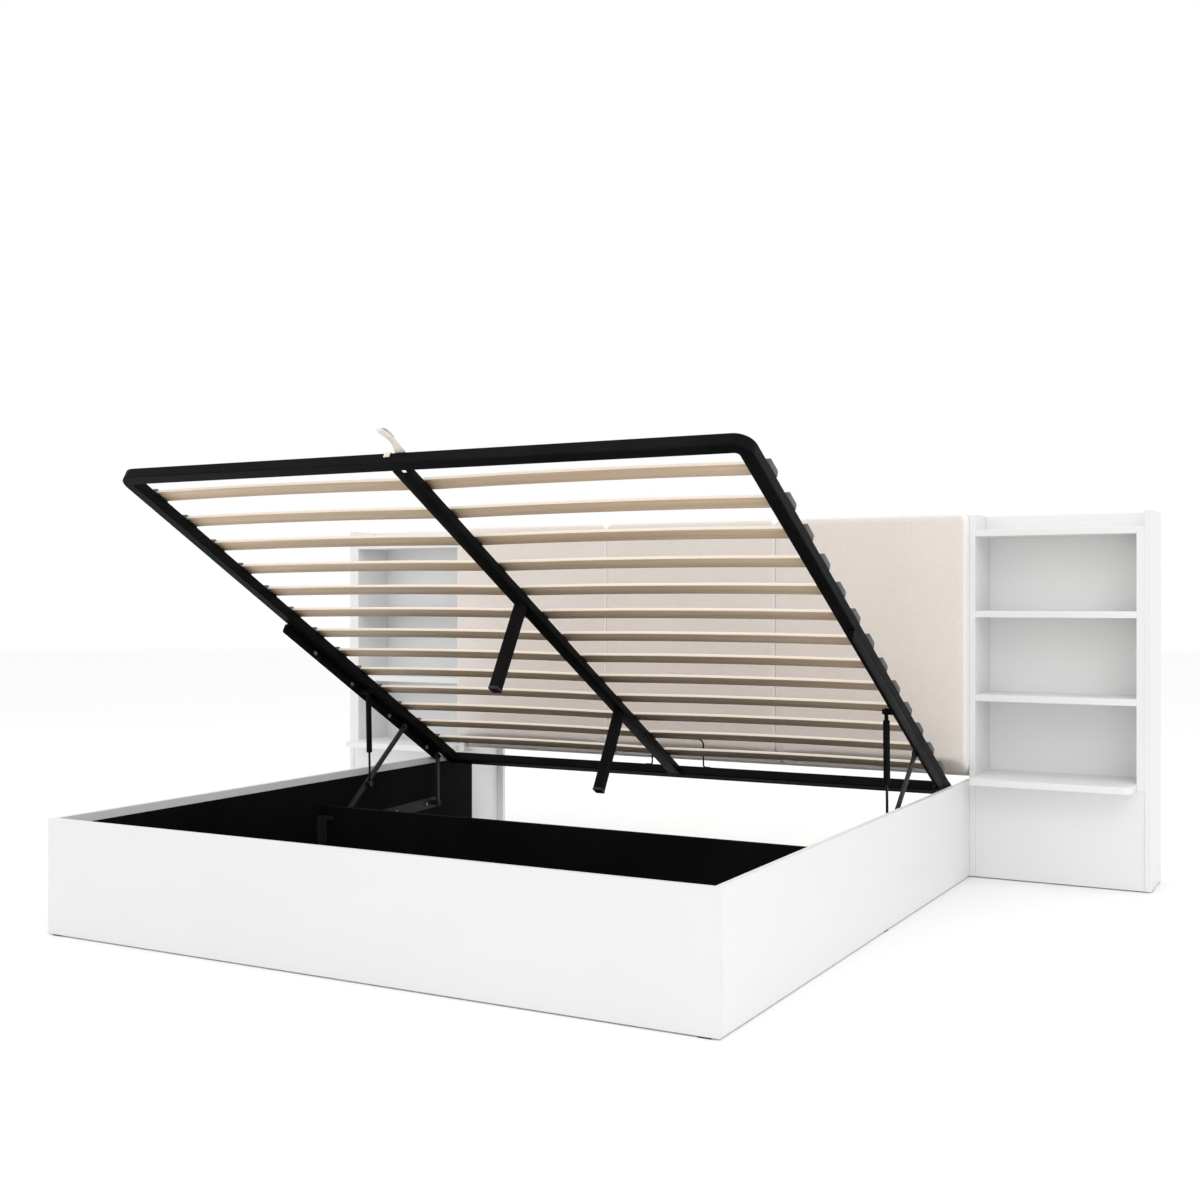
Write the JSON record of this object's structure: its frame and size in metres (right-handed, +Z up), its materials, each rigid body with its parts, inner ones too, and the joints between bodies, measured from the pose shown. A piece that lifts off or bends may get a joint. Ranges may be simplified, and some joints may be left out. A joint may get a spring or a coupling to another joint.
{
  "type": "storage bed",
  "caption": "Wide storage bed with a raised slatted platform on a lift mechanism, a lined box, an upholstered headboard and open shelf units at both sides.",
  "frame": {"origin": "on the floor under the middle of the whole bed, mid width and mid depth", "axes": "+Z up, +X across the bed to the right seen from the foot, +Y from the foot to the headboard"},
  "size_m": [3.189, 2.301, 1.3648],
  "materials": {
    "white_board": "matte white laminate",
    "black_board": "matte black fibreboard",
    "backing_cloth": "dark backing cloth on board",
    "upholstery": "woven, soft",
    "slat_wood": "bent birch plywood",
    "grey_plastic": "moulded",
    "black_plastic": "moulded",
    "black_steel": "black powder coat",
    "zinc_steel": "zinc plated",
    "bright_rod": "polished rod",
    "webbing": "cotton webbing"
  },
  "bodies": {
    "box": {"base_bar_bolts": "zinc_steel", "base_bar_left": "black_steel", "base_bar_right": "black_steel", "divider": "black_board", "divider_brackets": "black_steel", "floor_sheets": "black_board", "foot_liner": "black_board", "footboard": "white_board", "glides": "black_plastic", "headboard_carrier": "backing_cloth", "headboard_panel_1": "upholstery", "headboard_panel_2": "upholstery", "headboard_panel_3": "upholstery", "rear_posts": "white_board", "side_liner_left": "black_board", "side_liner_right": "black_board", "side_rail_left": "white_board", "side_rail_right": "white_board", "unit_back_left": "white_board", "unit_back_right": "white_board", "unit_bed_wall_left": "white_board", "unit_bed_wall_right": "white_board", "unit_bottom_shelf_left": "white_board", "unit_bottom_shelf_right": "white_board", "unit_lower_panel_left": "white_board", "unit_lower_panel_right": "white_board", "unit_outer_wall_left": "white_board", "unit_outer_wall_right": "white_board", "unit_shelves_left": "white_board", "unit_shelves_right": "white_board", "unit_side_wall_left": "white_board", "unit_side_wall_right": "white_board", "unit_top_shelf_left": "white_board", "unit_top_shelf_right": "white_board", "unit_upstand_left": "white_board", "unit_upstand_right": "white_board"},
    "platform": {"platform_frame": "black_steel", "head_tube": "black_steel", "centre_beam": "black_steel", "slats_left": "slat_wood", "slats_right": "slat_wood", "slat_caps": "grey_plastic", "slat_holders": "black_plastic", "support_legs": "black_steel", "support_leg_feet": "black_plastic", "mattress_stop": "black_steel", "pull_strap": "webbing", "upper_bar_left": "black_steel", "upper_bar_right": "black_steel", "upper_bar_bolts": "zinc_steel"},
    "short_link_left": {"short_link_left": "black_steel"},
    "long_link_left": {"long_link_left": "black_steel"},
    "strut_cylinder_left": {"strut_cylinder_left": "black_steel"},
    "strut_rod_left": {"strut_rod_left": "bright_rod"},
    "short_link_right": {"short_link_right": "black_steel"},
    "long_link_right": {"long_link_right": "black_steel"},
    "strut_cylinder_right": {"strut_cylinder_right": "black_steel"},
    "strut_rod_right": {"strut_rod_right": "bright_rod"}
  },
  "joints": [
    {"name": "short_link_left_pivot", "type": "hinge", "parent": "box", "child": "short_link_left", "pos_m": [-0.9703, 0.6615, 0.1466], "axis": [1, 0, 0], "range_deg": [-46.66, 0]},
    {"name": "platform_lift", "type": "hinge", "parent": "short_link_left", "child": "platform", "pos_m": [0, 0.66178, 0.3264], "axis": [1, 0, 0], "range_deg": [0, 76.94]},
    {"name": "long_link_left_pivot", "type": "hinge", "parent": "box", "child": "long_link_left", "pos_m": [-0.9703, 0.0387, 0.1283], "axis": [1, 0, 0], "range_deg": [-22.02, 0]},
    {"name": "strut_left_pivot", "type": "hinge", "parent": "platform", "child": "strut_cylinder_left", "pos_m": [-0.9533, 0.20647, 0.59973], "axis": [1, 0, 0], "range_deg": [-86.42, 0]},
    {"name": "strut_left_stroke", "type": "slide", "parent": "strut_cylinder_left", "child": "strut_rod_left", "axis": [0, 0.0273, -0.9996], "range_m": [-0.08518, 0]},
    {"name": "short_link_right_pivot", "type": "hinge", "parent": "box", "child": "short_link_right", "pos_m": [0.9703, 0.6615, 0.1466], "axis": [1, 0, 0], "range_deg": [-46.7, 0]},
    {"name": "long_link_right_pivot", "type": "hinge", "parent": "box", "child": "long_link_right", "pos_m": [0.9703, 0.0387, 0.1283], "axis": [1, 0, 0], "range_deg": [-22.02, 0]},
    {"name": "strut_right_pivot", "type": "hinge", "parent": "platform", "child": "strut_cylinder_right", "pos_m": [0.9533, 0.20647, 0.59973], "axis": [1, 0, 0], "range_deg": [-86.42, 0]},
    {"name": "strut_right_stroke", "type": "slide", "parent": "strut_cylinder_right", "child": "strut_rod_right", "axis": [0, 0.0273, -0.9996], "range_m": [-0.08518, 0]}
  ],
  "couplings": [
    {"joint": "platform_lift", "follows": "short_link_left_pivot", "ratio": -1.6473},
    {"joint": "long_link_left_pivot", "follows": "short_link_left_pivot", "ratio": 0.47151},
    {"joint": "strut_left_pivot", "follows": "short_link_left_pivot", "ratio": 1.8504},
    {"joint": "strut_left_stroke", "follows": "short_link_left_pivot", "m_per_rad": 0.1045},
    {"joint": "short_link_right_pivot", "follows": "short_link_left_pivot", "ratio": 1},
    {"joint": "long_link_right_pivot", "follows": "short_link_left_pivot", "ratio": 0.47151},
    {"joint": "strut_right_pivot", "follows": "short_link_left_pivot", "ratio": 1.8504},
    {"joint": "strut_right_stroke", "follows": "short_link_left_pivot", "m_per_rad": 0.1045}
  ]
}
